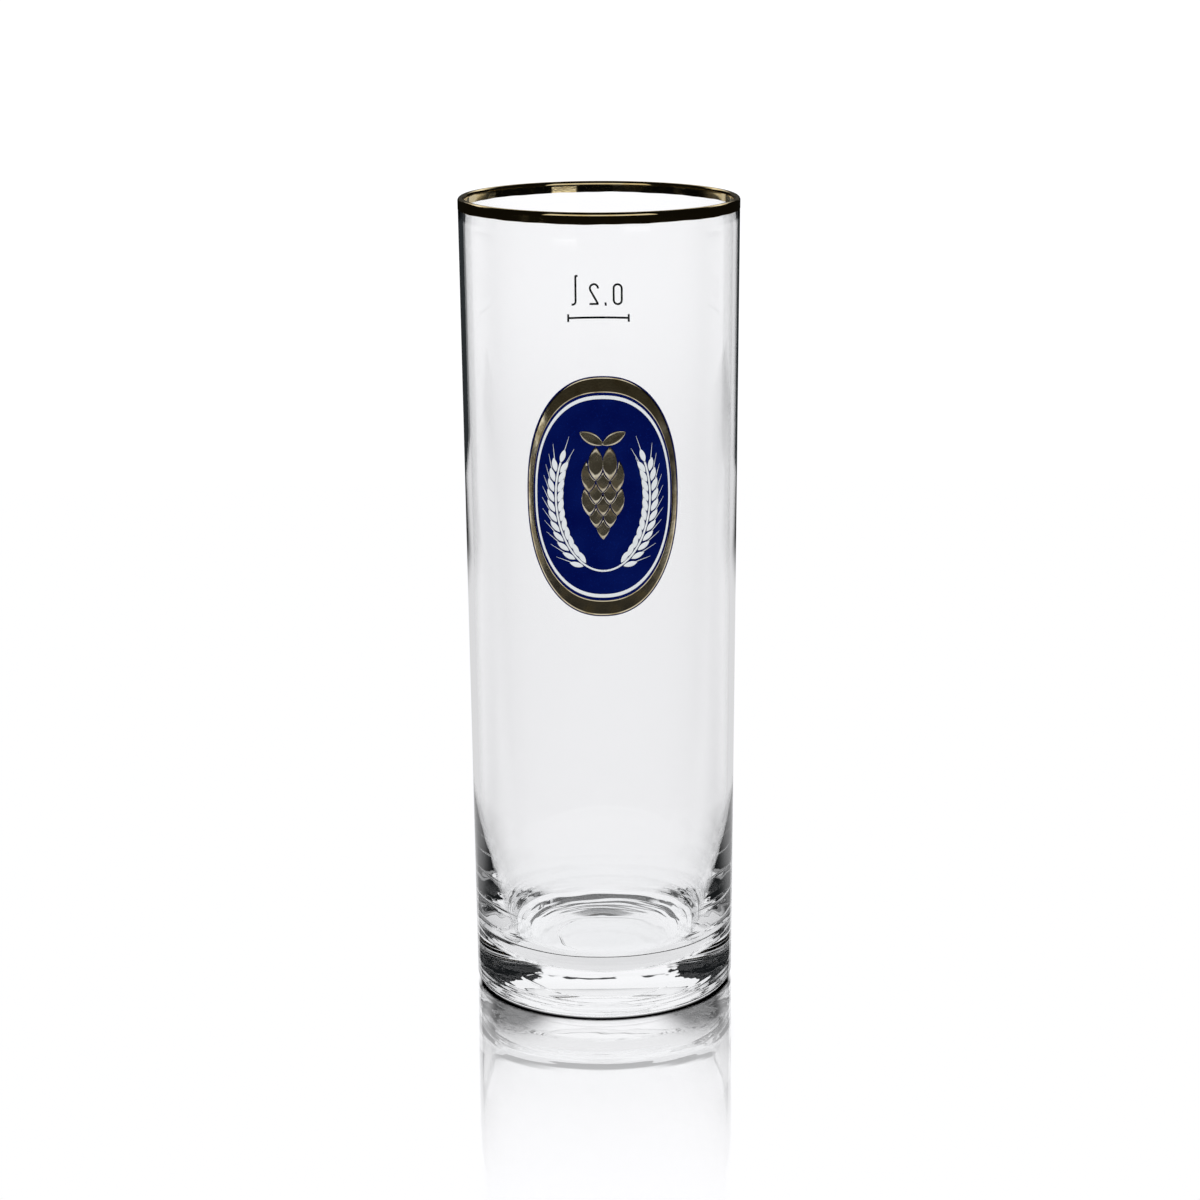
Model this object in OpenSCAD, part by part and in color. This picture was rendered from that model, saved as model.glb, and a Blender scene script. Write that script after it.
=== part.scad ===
// Straight tapered beer glass of 0.2 litre, a stange: a one-piece glass body with a heavy base,
// a gilt lip, an oval label in fired-on layers and a fill mark on the far side.
// Millimetres. The glass stands on z = 0 with its axis on +Z, and the label faces -Y.

/* [Glass] */
// Height from the table to the crest of the lip
glass_h = 150; // [130:1:180]
// Outer radius of the wall at the height of the crest
rim_r = 25.6; // [23:0.1:30]
// How much narrower the wall's outer radius is at the height of the table
taper = 1.1; // [0:0.1:2.5]
// Thickness of the straight wall, which is also the width of the rounded lip
wall_t = 1.2; // [0.8:0.1:2]
// Radius of the rounded heel between the foot and the wall
heel_r = 1.5; // [0.5:0.1:3]

/* [Base] */
// Thickness of the base on the axis
base_t = 4.7; // [3:0.1:10]
// Height at which the inner wall begins to thicken towards the base
swell_z = 39; // [30:1:60]
// Radius of the arc in which the thickening inner wall runs in
swell_r = 119; // [100:1:200]
// Radius of the inner corner between wall and floor
corner_r = 9; // [4:0.5:12]
// Radius of the shallow dish that is the inner floor
dish_r = 100; // [80:5:400]
// Radius of the hollow under the base, inside the foot ring
punt_r = 19.5; // [15:0.5:20]
// Depth of the hollow under the base
punt_depth = 1.1; // [0.5:0.1:2]

/* [Gilt lip] */
// Depth of the gilt band below the crest, outside and inside
gilt_h = 2; // [1.5:0.1:5]
// Thickness of the gilding
gilt_t = 0.1; // [0.05:0.01:0.2]

/* [Label] */
// Height of the label's middle above the table
label_z = 99.7; // [70:0.1:105]
// Half of the label's width, seen from the front
label_a = 13.4; // [12:0.05:16]
// Half of the label's height
label_b = 21.8; // [20:0.05:24]
// Exponent of the label's ovals: 2 makes an ellipse, and more makes the shoulders fuller
oval_exponent = 2.3; // [2:0.05:3]
// Thickness of each fired-on layer
layer_t = 0.1; // [0.05:0.01:0.2]
// Blue that shows as an outline round the gold border
outline_w = 0.2; // [0.1:0.05:0.4]
// Width of the gold border at the label's sides
border_side_w = 0.9; // [0.6:0.05:1.2]
// Width of the gold border at the label's top and bottom
border_end_w = 2.75; // [1.5:0.05:3.2]
// Blue between the gold border and the white line at the sides
gap_side_w = 0.3; // [0.15:0.05:0.5]
// Blue between the gold border and the white line at the top and bottom
gap_end_w = 0.5; // [0.3:0.05:1]
// Width of the white line at the sides
line_side_w = 0.35; // [0.2:0.05:0.6]
// Width of the white line at the top and bottom
line_end_w = 0.65; // [0.3:0.05:1]

/* [Barley] */
// Half-width of the oval along which the two stalks rise
stalk_a = 8.36; // [7:0.02:9]
// Half-height of the oval along which the two stalks rise
stalk_b = 13.42; // [12:0.02:14.5]
// Width of a stalk
stalk_w = 0.33; // [0.2:0.01:0.5]
// Length of bare stalk below the lowest grains
stalk_bare = 6.6; // [5:0.1:8]
// Number of pairs of grains on an ear
grain_pairs = 11; // [5:1:12]
// Distance between pairs of grains along the stalk
grain_step = 1.815; // [1.6:0.005:2.1]
// Length of one grain
grain_len = 2.53; // [2:0.01:3]
// Width of one grain
grain_w = 0.935; // [0.7:0.005:1.2]

/* [Hop cone] */
// Height of the hop cone's top, measured from the label's middle
hop_top = 9.2; // [8:0.1:10]
// Length of one bract
bract_len = 6.1; // [5:0.1:7]
// Width of one bract
bract_w = 2.6; // [2.2:0.05:2.8]
// Distance between rows of bracts, each of which covers the tops of those below
bract_step = 2.15; // [1.8:0.05:2.4]
// Distance between the middles of neighbouring bracts in a row
bract_pitch = 2.5; // [2.3:0.05:2.7]
// Gap left round a bract where it covers the rows below
bract_gap = 0.16; // [0.1:0.02:0.3]
// Length of each of the two leaves over the cone
hop_leaf_len = 4.8; // [3:0.1:5.5]
// Width of each of the two leaves over the cone
hop_leaf_w = 2.1; // [1:0.1:2.4]

/* [Fill mark] */
// Height of the fill line above the table
mark_z = 124; // [90:0.5:126]
// Length of the fill line
mark_w = 12.4; // [8:0.1:16]
// Thickness of the line's stroke
mark_stroke = 0.36; // [0.2:0.01:0.6]
// Height of the ticks at the ends of the line
tick_h = 1.5; // [1:0.1:3]

/* [Hidden] */
$fn = 96;

// Steps in one rounded stretch of an outline
arc_steps = 12;
// Steps in the long arc of the inner wall
swell_steps = 24;
// Steps in an oval of the label
oval_steps = 96;
// Room by which a cutting shape passes what it cuts
cut = 1;

// The wall leans outwards by this angle, and wall_n is its outward normal in the (radius, height) plane
base_r = rim_r - taper;
lean = atan2(taper, glass_h);
wall_n = [cos(lean), -sin(lean)];
floor_z = punt_depth + base_t;

// Radius of the outer wall at height z, moved out along the wall's normal by a distance
function wall_r(z, out = 0) = base_r + (z * sin(lean) + out) / cos(lean);

// Points along an arc from angle a0 to angle a1
function arc(centre, r, a0, a1, steps = arc_steps) =
    [for (i = [0:steps]) let (a = a0 + (a1 - a0) * i / steps) centre + r * [cos(a), sin(a)]];

// The right-hand point where two circles in the (radius, height) plane cross
function crossing(c1, r1, c2, r2) =
    let (d = c2 - c1, gap = norm(d), along = (r1 * r1 - r2 * r2 + gap * gap) / (2 * gap))
    let (off = sqrt(r1 * r1 - along * along), u = d / gap)
    let (p = c1 + along * u + off * [u[1], -u[0]], q = c1 + along * u - off * [u[1], -u[0]])
    p[0] > q[0] ? p : q;

function angle_to(from, to) = atan2(to[1] - from[1], to[0] - from[0]);

// Centres of the arcs that make the glass's outline
heel_c = [wall_r(heel_r, -heel_r), heel_r];
lip_r = wall_t / 2;
lip_c = [wall_r(glass_h - lip_r, -lip_r), glass_h - lip_r];
swell_c = [wall_r(swell_z, -wall_t), swell_z] - swell_r * wall_n;
dish_c = [0, floor_z + dish_r];
corner_c = crossing(swell_c, swell_r - corner_r, dish_c, dish_r - corner_r);
punt_sphere_r = (punt_r * punt_r + punt_depth * punt_depth) / (2 * punt_depth);
punt_c = [0, punt_depth - punt_sphere_r];

// Outline of the lip, from outside over the crest to inside, grown by a film's thickness
function lip_outline(grow = 0) = arc(lip_c, lip_r + grow, -lean, 180 - lean);

// Outline of the inside, from the top of the thickening down to the axis
inside_outline = concat(
    arc(swell_c, swell_r, -lean, angle_to(swell_c, corner_c), swell_steps),
    arc(corner_c, corner_r, angle_to(swell_c, corner_c), angle_to(dish_c, corner_c)),
    arc(dish_c, dish_r, angle_to(dish_c, corner_c), -90));

// Half of the body's section: hollow under the base, heel, wall, lip and inside
glass_outline = concat(
    arc(punt_c, punt_sphere_r, 90, angle_to(punt_c, [punt_r, 0])),
    arc(heel_c, heel_r, -90, -lean),
    lip_outline(),
    inside_outline);

module glass_body() {
    color("aliceblue", 0.35) rotate_extrude() polygon(glass_outline);
}

// A film over the lip, as deep outside as inside
module gilt_lip() {
    foot_z = glass_h - gilt_h;
    outside = [wall_r(foot_z), foot_z];
    outside_film = [wall_r(foot_z, gilt_t), foot_z];
    inside = [wall_r(foot_z, -wall_t), foot_z];
    inside_film = [wall_r(foot_z, -wall_t - gilt_t), foot_z];
    lip = lip_outline();
    crest_down = [for (i = [len(lip) - 1:-1:0]) lip[i]];
    color("goldenrod") rotate_extrude()
        polygon(concat([outside, outside_film], lip_outline(gilt_t), [inside_film, inside], crest_down));
}

// A thin shell on the wall between heights z0 and z1; rank 0 lies on the glass and rank 1 on rank 0
module layer(z0, z1, rank = 0) {
    difference() {
        translate([0, 0, z0])
            cylinder(h = z1 - z0, r1 = wall_r(z0, (rank + 1) * layer_t),
                     r2 = wall_r(z1, (rank + 1) * layer_t));
        translate([0, 0, z0 - cut])
            cylinder(h = z1 - z0 + 2 * cut, r1 = wall_r(z0 - cut, rank * layer_t),
                     r2 = wall_r(z1 + cut, rank * layer_t));
    }
}

// Prints a flat design, drawn about the label's middle, on the front of the wall
module print_on_label(rank) {
    intersection() {
        layer(label_z - label_b - cut, label_z + label_b + cut, rank);
        translate([0, 0, label_z]) rotate([90, 0, 0]) linear_extrude(height = rim_r + cut) children();
    }
}

// A point of the upright oval |x / a| ^ n + |y / b| ^ n = 1, at angle t from its top
function signed_power(v, p) = sign(v) * pow(abs(v), p);
function oval_point(a, b, t, n = 2) =
    [a * signed_power(sin(t), 2 / n), b * signed_power(cos(t), 2 / n)];

module oval(a, b) {
    polygon([for (i = [0:oval_steps - 1]) oval_point(a, b, i * 360 / oval_steps, oval_exponent)]);
}

// A plain oval ring, as wide at the sides and at the ends as it is told
module oval_ring(a, b, side_w, end_w) {
    difference() {
        oval(a, b);
        oval(a - side_w, b - end_w);
    }
}

border_a = label_a - outline_w;
border_b = label_b - outline_w;
line_a = border_a - border_side_w - gap_side_w;
line_b = border_b - border_end_w - gap_end_w;

module label_ground() {
    color("midnightblue") print_on_label(0) oval(label_a, label_b);
}

module label_border() {
    color("goldenrod") print_on_label(1) oval_ring(border_a, border_b, border_side_w, border_end_w);
}

module label_line() {
    color("white") print_on_label(1) oval_ring(line_a, line_b, line_side_w, line_end_w);
}

// A pointed leaf along +Y from the origin: where two equal circles overlap
module leaf(length, width) {
    r = (length * length + width * width) / (4 * width);
    translate([0, length / 2]) intersection() {
        translate([r - width / 2, 0]) circle(r = r);
        translate([width / 2 - r, 0]) circle(r = r);
    }
}

// The right-hand stalk starts left of the middle, crosses the other one and rises along its oval.
// The table pairs the length along it with the angle reached.
stalk_start_deg = 200;
stalk_end_deg = 20;
stalk_steps = 90;
function stalk_angle(i) = stalk_start_deg + (stalk_end_deg - stalk_start_deg) * i / stalk_steps;
function stalk_point(t) = oval_point(stalk_a, stalk_b, t);
function stalk_lengths(i = 0, sum = 0) =
    i > stalk_steps ? [] : concat([[sum, stalk_angle(i)]], stalk_lengths(i + 1, sum +
        norm(stalk_point(stalk_angle(i + 1)) - stalk_point(stalk_angle(i)))));
stalk_table = stalk_lengths();
function angle_at(length) = lookup(length, stalk_table);
// Direction of growth at an angle on the oval, as a turn from +Y
function growth(t) = atan2(stalk_b * sin(t), -stalk_a * cos(t)) - 90;

module barley_ear() {
    grain_spread = 22;
    grain_off = 0.4 * grain_w;
    ear_len = stalk_bare + grain_pairs * grain_step;
    stalk_pieces = 24;
    path = [for (i = [0:stalk_pieces]) angle_at(ear_len * i / stalk_pieces)];
    polygon(concat(
        [for (t = path) oval_point(stalk_a + stalk_w / 2, stalk_b + stalk_w / 2, t)],
        [for (i = [stalk_pieces:-1:0])
            oval_point(stalk_a - stalk_w / 2, stalk_b - stalk_w / 2, path[i])]));
    for (i = [0:grain_pairs]) {
        t = angle_at(stalk_bare + i * grain_step);
        translate(stalk_point(t)) rotate(growth(t)) {
            if (i < grain_pairs)
                for (side = [-1, 1])
                    translate([side * grain_off, 0]) rotate(-side * grain_spread) leaf(grain_len, grain_w);
            else
                leaf(grain_len, grain_w);
        }
    }
}

module label_barley() {
    color("white") print_on_label(1) {
        barley_ear();
        mirror([1, 0]) barley_ear();
    }
}

// Bracts across each row of the hop cone, from the top down
hop_rows = [2, 3, 2, 3, 2, 1];

module bract_row(i, grow = 0) {
    for (j = [0:hop_rows[i] - 1])
        translate([(j - (hop_rows[i] - 1) / 2) * bract_pitch, hop_top - i * bract_step + grow])
            rotate(180) leaf(bract_len + 2 * grow, bract_w + 2 * grow);
}

// Rows of bracts that hang down, each lying over those below it, and two leaves over them
module label_hop() {
    leaf_turn = 62;
    leaf_gap = 0.3;
    color("goldenrod") print_on_label(1) {
        for (i = [0:len(hop_rows) - 1]) difference() {
            bract_row(i);
            for (above = [0:1:i - 1]) bract_row(above, bract_gap);
        }
        for (side = [-1, 1])
            translate([side * leaf_gap / 2, hop_top + leaf_gap]) rotate(side * leaf_turn)
                leaf(hop_leaf_len, hop_leaf_w);
    }
}

// The line that the glass is filled to, with a tick at each end, on the far side of the wall
module fill_line() {
    color("dimgray") intersection() {
        layer(mark_z - tick_h, mark_z + tick_h);
        translate([0, 0, mark_z]) rotate([-90, 0, 0]) linear_extrude(height = rim_r + cut) {
            square([mark_w, mark_stroke], center = true);
            for (side = [-1, 1]) translate([side * (mark_w - mark_stroke) / 2, 0])
                square([mark_stroke, tick_h], center = true);
        }
    }
}

glass_body();
gilt_lip();
label_ground();
label_border();
label_line();
label_barley();
label_hop();
fill_line();
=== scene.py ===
"""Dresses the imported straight-sided beer glass: clear glass, gilding, a fired-on label and a fill mark.

Sizes of the pieces are millimetres, as in the part's source, and meshes and the stage are in metres. The
glass stands on z = 0 with its axis on +Z, the label faces -Y and the fill mark is on the far side, +Y.
"""

from __future__ import annotations

import logging
import math
from dataclasses import dataclass, field
from enum import Enum
from functools import reduce
from typing import Sequence

import bpy
import numpy as np
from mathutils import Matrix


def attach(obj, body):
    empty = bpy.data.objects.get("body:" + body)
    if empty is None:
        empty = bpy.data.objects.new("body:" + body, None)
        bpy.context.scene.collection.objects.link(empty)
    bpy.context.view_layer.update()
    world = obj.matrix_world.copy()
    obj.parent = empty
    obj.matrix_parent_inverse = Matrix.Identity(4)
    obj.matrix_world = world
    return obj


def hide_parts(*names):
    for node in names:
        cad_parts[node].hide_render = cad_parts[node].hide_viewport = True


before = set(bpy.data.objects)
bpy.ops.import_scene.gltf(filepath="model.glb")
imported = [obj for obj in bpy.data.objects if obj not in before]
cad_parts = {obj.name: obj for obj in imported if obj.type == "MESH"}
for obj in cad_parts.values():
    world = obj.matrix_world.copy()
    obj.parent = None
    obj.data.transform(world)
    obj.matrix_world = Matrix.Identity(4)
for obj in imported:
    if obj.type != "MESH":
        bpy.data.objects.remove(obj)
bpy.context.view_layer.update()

LOG = logging.getLogger("stange")
BODY = "root"
MM = 0.001
TURN = 2.0 * math.pi

Colour = tuple[float, float, float]
Material = bpy.types.Material
Socket = bpy.types.NodeSocket


class WallSide(Enum):
    """The side of the glass that a print is on; the value is the sign of its outward -Y direction."""

    FRONT = 1.0
    BACK = -1.0


@dataclass
class Shell:
    """A surface as plain arrays.

    Attributes:
        points: Vertex positions in millimetres, one row each.
        faces: Corner numbers of each face.
    """

    points: np.ndarray
    faces: list[list[int]]

    @staticmethod
    def joined(shells: Sequence[Shell]) -> Shell:
        """Put several closed surfaces into one.

        Args:
            shells: The surfaces to put together.

        Returns:
            One surface that holds them all, unconnected.
        """
        faces: list[list[int]] = []
        count = 0
        for shell in shells:
            faces += [[count + i for i in face] for face in shell.faces]
            count += len(shell.points)
        return Shell(np.concatenate([shell.points for shell in shells]), faces)

    def to_object(self, name: str, material: Material) -> bpy.types.Object:
        """Make a smooth-shaded Blender object at the origin.

        Args:
            name: Name of the piece.
            material: Finish of the piece.

        Returns:
            The new object, linked to the scene.
        """
        mesh = bpy.data.meshes.new(name)
        mesh.from_pydata((self.points * MM).tolist(), [], self.faces)
        mesh.validate()
        mesh.materials.append(material)
        mesh.shade_smooth()
        piece = bpy.data.objects.new(name, mesh)
        bpy.context.scene.collection.objects.link(piece)
        return piece


def grid_faces(
    rows: int, columns: int, wrap_rows: bool = False, wrap_columns: bool = False
) -> list[list[int]]:
    """List the quads of a grid of vertices stored row by row.

    Args:
        rows: Number of rows of vertices.
        columns: Number of vertices in a row.
        wrap_rows: Whether the last row joins the first.
        wrap_columns: Whether each row is a closed loop.

    Returns:
        Four vertex numbers for each quad.
    """
    i = np.arange(rows if wrap_rows else rows - 1)[:, None]
    j = np.arange(columns if wrap_columns else columns - 1)[None, :]
    i, j = np.broadcast_arrays(i, j)
    here, below = i * columns, (i + 1) % rows * columns
    right = (j + 1) % columns
    quads = np.stack([here + j, here + right, below + right, below + j], -1)
    return quads.reshape(-1, 4).tolist()


def around(steps: int) -> np.ndarray:
    """Give evenly spaced angles of a full turn."""
    return np.arange(steps) * TURN / steps


def arc(centre: Sequence[float], radius: float, start: float, end: float, steps: int) -> np.ndarray:
    """Sample a circle's arc, centre + radius * (cos a, sin a), for angles a from start to end.

    Args:
        centre: Centre in the (radius, height) plane.
        radius: Radius of the arc.
        start: First angle in radians.
        end: Last angle in radians.
        steps: Number of steps between them.

    Returns:
        The steps + 1 points of the arc.
    """
    angles = np.linspace(start, end, steps + 1)
    return np.asarray(centre) + radius * np.stack([np.cos(angles), np.sin(angles)], -1)


def line(start: Sequence[float], end: Sequence[float], steps: int) -> np.ndarray:
    """Sample the inner points of a straight stretch, without its two ends."""
    share = np.linspace(0.0, 1.0, steps + 1)[1:-1, None]
    return (1.0 - share) * np.asarray(start) + share * np.asarray(end)


def lengths(points: np.ndarray) -> np.ndarray:
    """Give the distance along a path from its first point to each of its points."""
    steps = np.linalg.norm(np.diff(points, axis=0), axis=1)
    return np.concatenate([[0.0], np.cumsum(steps)])


def angle_to(start: np.ndarray, end: np.ndarray) -> float:
    """Give the direction from one point to another as an angle."""
    return math.atan2(end[1] - start[1], end[0] - start[0])


def smooth_step(low: float, high: float, value: np.ndarray) -> np.ndarray:
    """Rise from 0 at low to 1 at high as 3 s^2 - 2 s^3."""
    share = np.clip((value - low) / (high - low), 0.0, 1.0)
    return share * share * (3.0 - 2.0 * share)


@dataclass(frozen=True)
class Wave:
    """A sine wave round the axis that also winds along the outline.

    Attributes:
        count: Waves in a full turn.
        wind: Radians by which it moves on in a millimetre of the outline.
        start: Angle at which it starts, in radians.
        height: Height of a crest over the middle.
    """

    count: int
    wind: float
    start: float
    height: float

    def at(self, angle: np.ndarray, along: np.ndarray | float = 0.0) -> np.ndarray:
        """Give height * sin(count * angle + wind * along + start)."""
        return self.height * np.sin(self.count * angle + self.wind * along + self.start)


@dataclass(frozen=True)
class GlassSection:
    """Half of the glass's section, as in the part's source, in millimetres.

    The mark zone lies between two radii of the underside where points lie closer, base_z is the height below
    which the inside is all base, and the steps say how finely each stretch of the outline is cut.
    """

    glass_h: float = 150.0
    rim_r: float = 25.6
    taper: float = 1.1
    wall_t: float = 1.2
    heel_r: float = 1.5
    base_t: float = 4.7
    swell_z: float = 39.0
    swell_r: float = 119.0
    corner_r: float = 9.0
    dish_r: float = 100.0
    punt_r: float = 19.5
    punt_depth: float = 1.1
    mark_zone: tuple[float, float] = (8.5, 10.9)
    base_z: float = 12.0
    punt_steps: tuple[int, int, int] = (18, 28, 34)
    sole_steps: int = 6
    heel_steps: int = 12
    wall_steps: int = 36
    lip_steps: int = 20
    inner_steps: int = 26
    swell_steps: int = 64
    corner_steps: int = 64
    dish_steps: int = 30

    @property
    def lean(self) -> float:
        """Angle by which the wall leans outwards."""
        return math.atan2(self.taper, self.glass_h)

    @property
    def lip_r(self) -> float:
        """Radius of the rounded lip."""
        return self.wall_t / 2.0

    @property
    def lip_centre(self) -> np.ndarray:
        """Centre of the rounded lip."""
        return self.wall_point(self.glass_h - self.lip_r, -self.lip_r)

    def wall_radius(self, z: np.ndarray | float, out: np.ndarray | float = 0.0) -> np.ndarray:
        """Radius of the outer wall, moved out along its normal.

        Args:
            z: Height above the table.
            out: Distance outwards from the wall's surface.

        Returns:
            The radius at each height.
        """
        base = self.rim_r - self.taper
        return base + (np.asarray(z) * math.sin(self.lean) + out) / math.cos(self.lean)

    def wall_point(self, z: float, out: float) -> np.ndarray:
        """Give the point (radius, height) at a distance outwards from the wall's surface."""
        return np.array([float(self.wall_radius(z, out)), z])

    def corner_centre(self, swell_centre: np.ndarray, dish_centre: np.ndarray) -> np.ndarray:
        """Centre of the inner corner's arc, which touches the wall's arc and the floor's dish from inside.

        Args:
            swell_centre: Centre of the inner wall's long arc.
            dish_centre: Centre of the floor's dish.

        Returns:
            The right-hand crossing of the two circles on which that centre lies.
        """
        swell_reach = self.swell_r - self.corner_r
        dish_reach = self.dish_r - self.corner_r
        apart = dish_centre - swell_centre
        gap = np.linalg.norm(apart)
        along = (swell_reach**2 - dish_reach**2 + gap**2) / (2.0 * gap)
        off = math.sqrt(swell_reach**2 - along**2)
        unit = apart / gap
        side = np.array([unit[1], -unit[0]])
        crossings = [swell_centre + along * unit + sign * off * side for sign in (1.0, -1.0)]
        return max(crossings, key=lambda point: point[0])

    def hollow(self) -> np.ndarray:
        """Trace the hollow under the base, an arc from the axis to its edge, closer in the mark zone.

        Returns:
            The points of the arc.
        """
        sphere = (self.punt_r**2 + self.punt_depth**2) / (2.0 * self.punt_depth)
        centre = (0.0, self.punt_depth - sphere)
        stops = [math.acos(radius / sphere) for radius in (0.0, *self.mark_zone, self.punt_r)]
        arcs = [arc(centre, sphere, *ends) for ends in zip(stops, stops[1:], self.punt_steps)]
        return np.concatenate([arcs[0]] + [stretch[1:] for stretch in arcs[1:]])

    def outline(self) -> tuple[np.ndarray, np.ndarray]:
        """Trace the section from the middle of the underside, round the lip, to the middle of the floor.

        The hollow under the base, the heel, the lip, the thickening inner wall, the corner and the floor are
        arcs that touch, and the walls between them are straight.

        Returns:
            The points, and for each the share from 0 to 1 by which it belongs to the inside of the base.
        """
        lean = self.lean
        down = -math.pi / 2.0
        normal = np.array([math.cos(lean), -math.sin(lean)])
        inner_top = self.wall_point(self.swell_z, -self.wall_t)
        swell_centre = inner_top - self.swell_r * normal
        dish_centre = np.array([0.0, self.punt_depth + self.base_t + self.dish_r])
        corner = self.corner_centre(swell_centre, dish_centre)
        swell_end = angle_to(swell_centre, corner)
        dish_start = angle_to(dish_centre, corner)

        heel_centre = self.wall_point(self.heel_r, -self.heel_r)
        heel = arc(heel_centre, self.heel_r, down, -lean, self.heel_steps)
        lip = arc(self.lip_centre, self.lip_r, -lean, math.pi - lean, self.lip_steps)
        outside = [
            self.hollow(),
            line((self.punt_r, 0.0), heel[0], self.sole_steps),
            heel,
            line(heel[-1], lip[0], self.wall_steps),
            lip,
            line(lip[-1], inner_top, self.inner_steps),
        ]
        inside = [
            arc(swell_centre, self.swell_r, -lean, swell_end, self.swell_steps),
            arc(corner, self.corner_r, swell_end, dish_start, self.corner_steps)[1:],
            arc(dish_centre, self.dish_r, dish_start, down, self.dish_steps)[1:],
        ]
        points = np.concatenate(outside + inside)
        points[[0, -1], 0] = 0.0
        is_inside = np.arange(len(points)) >= sum(len(stretch) for stretch in outside)
        return points, is_inside * smooth_step(self.swell_z, self.base_z, points[:, 1])


def spun(radius: np.ndarray, height: np.ndarray) -> np.ndarray:
    """Give the points (r cos a, r sin a, z) of grids of r and z with a column for each angle a."""
    angles = around(radius.shape[1])
    return np.stack([radius * np.cos(angles), radius * np.sin(angles), height], -1).reshape(-1, 3)


def revolve(outline: np.ndarray, ripple: np.ndarray) -> Shell:
    """Turn an outline about +Z.

    Args:
        outline: Points (radius, height) whose first and last are on the axis.
        ripple: Distance by which each inner point moves along the outward normal at each angle.

    Returns:
        The closed surface.
    """
    along = np.gradient(outline, axis=0)[1:-1]
    along /= np.linalg.norm(along, axis=1, keepdims=True)
    radius = outline[1:-1, :1] + along[:, 1:] * ripple
    height = outline[1:-1, 1:] - along[:, :1] * ripple
    poles = np.array([[0.0, 0.0, outline[0, 1]], [0.0, 0.0, outline[-1, 1]]])
    rows, steps = ripple.shape
    count = rows * steps
    end = count - steps
    here = np.arange(steps)
    after = (here + 1) % steps
    faces = grid_faces(rows, steps, wrap_columns=True)
    faces += np.stack([np.full(steps, count), after, here], -1).tolist()
    faces += np.stack([np.full(steps, count + 1), end + here, end + after], -1).tolist()
    return Shell(np.concatenate([spun(radius, height), poles]), faces)


def revolve_loop(loop: np.ndarray, drop: np.ndarray) -> Shell:
    """Turn a closed loop about +Z into a ring.

    Args:
        loop: Points (radius, height) in order, anticlockwise as radius runs right and height up.
        drop: Height added at each loop point and angle.

    Returns:
        The closed ring.
    """
    points = spun(np.broadcast_to(loop[:, :1], drop.shape), loop[:, 1:] + drop)
    return Shell(points, grid_faces(*drop.shape, wrap_rows=True, wrap_columns=True))


@dataclass(frozen=True)
class WallPrint:
    """Lays flat designs on the glass's wall.

    A design point (u, v) goes to the height middle_z + v, and keeps its distance u from the middle as seen
    from straight in front, as a print on a shallow curve does.
    """

    section: GlassSection
    side: WallSide
    middle_z: float

    def lay(self, u: np.ndarray, v: np.ndarray, out: np.ndarray | float) -> np.ndarray:
        """Put design points on the wall.

        Args:
            u: Distance to the right of the middle, as read from outside.
            v: Height above the middle.
            out: Distance outwards from the wall's surface.

        Returns:
            The points in space, one row each.
        """
        z = self.middle_z + v
        radius = self.section.wall_radius(z, out)
        depth = np.sqrt(radius**2 - u**2)
        return np.stack([self.side.value * u, -self.side.value * depth, z], -1).reshape(-1, 3)

    def slab(self, u: np.ndarray, v: np.ndarray, low: float, high: np.ndarray | float) -> Shell:
        """Raise a thin closed film on a patch of grid points.

        The upper sheet is the grid at distance high, the under sheet the same grid at distance low, and a
        band of quads closes the four edges between them.

        Args:
            u: Design coordinates of the grid, rows by columns, with u growing along a row.
            v: Design coordinates of the grid, with v growing from row to row.
            low: Distance of the film's underside from the wall.
            high: Distance of the film's upper side, alone or for each grid point.

        Returns:
            The closed film.
        """
        rows, columns = u.shape
        count = rows * columns
        numbers = np.arange(count).reshape(rows, columns)
        edge = np.concatenate([numbers[0, :-1], numbers[:-1, -1], numbers[-1, :0:-1], numbers[:0:-1, 0]])
        after = np.roll(edge, -1)
        quads = grid_faces(rows, columns)
        faces = quads + [[count + i for i in reversed(quad)] for quad in quads]
        faces += np.stack([edge, edge + count, after + count, after], -1).tolist()
        return Shell(np.concatenate([self.lay(u, v, high), self.lay(u, v, low)]), faces)

    def ring(self, u: np.ndarray, v: np.ndarray, out: np.ndarray) -> Shell:
        """Carry a closed cross-section round a closed line of the design.

        Args:
            u: Design coordinates, one row for each point of the cross-section and one column round the line.
            v: Design coordinates in the same layout.
            out: Distance from the wall of each point of the cross-section.

        Returns:
            The closed ring.
        """
        return Shell(self.lay(u, v, out), grid_faces(*u.shape, wrap_rows=True, wrap_columns=True))

    def stroke(
        self, u: np.ndarray, v: np.ndarray, width: np.ndarray | float, low: float, high: float
    ) -> Shell:
        """Raise a line along a path, widened along the path's normal, with edges half as high as its middle.

        Args:
            u: Path points to the right.
            v: Path points upwards.
            width: Width of the line along the path.
            low: Distance of its underside from the wall.
            high: Distance of its upper side from the wall.

        Returns:
            The closed line.
        """
        across = np.linspace(1.0, -1.0, 5)[:, None]
        du, dv = np.gradient(u), np.gradient(v)
        off = across * width / 2.0 / np.hypot(du, dv)
        lift = 1.0 - 0.5 * across**4
        return self.slab(u + dv * off, v - du * off, low, low + (high - low) * lift)


@dataclass(frozen=True)
class Ramp:
    """A smooth change from a first result to a second between a low and a high value, held past them."""

    low: float
    high: float
    first: float = 0.0
    second: float = 1.0


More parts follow.
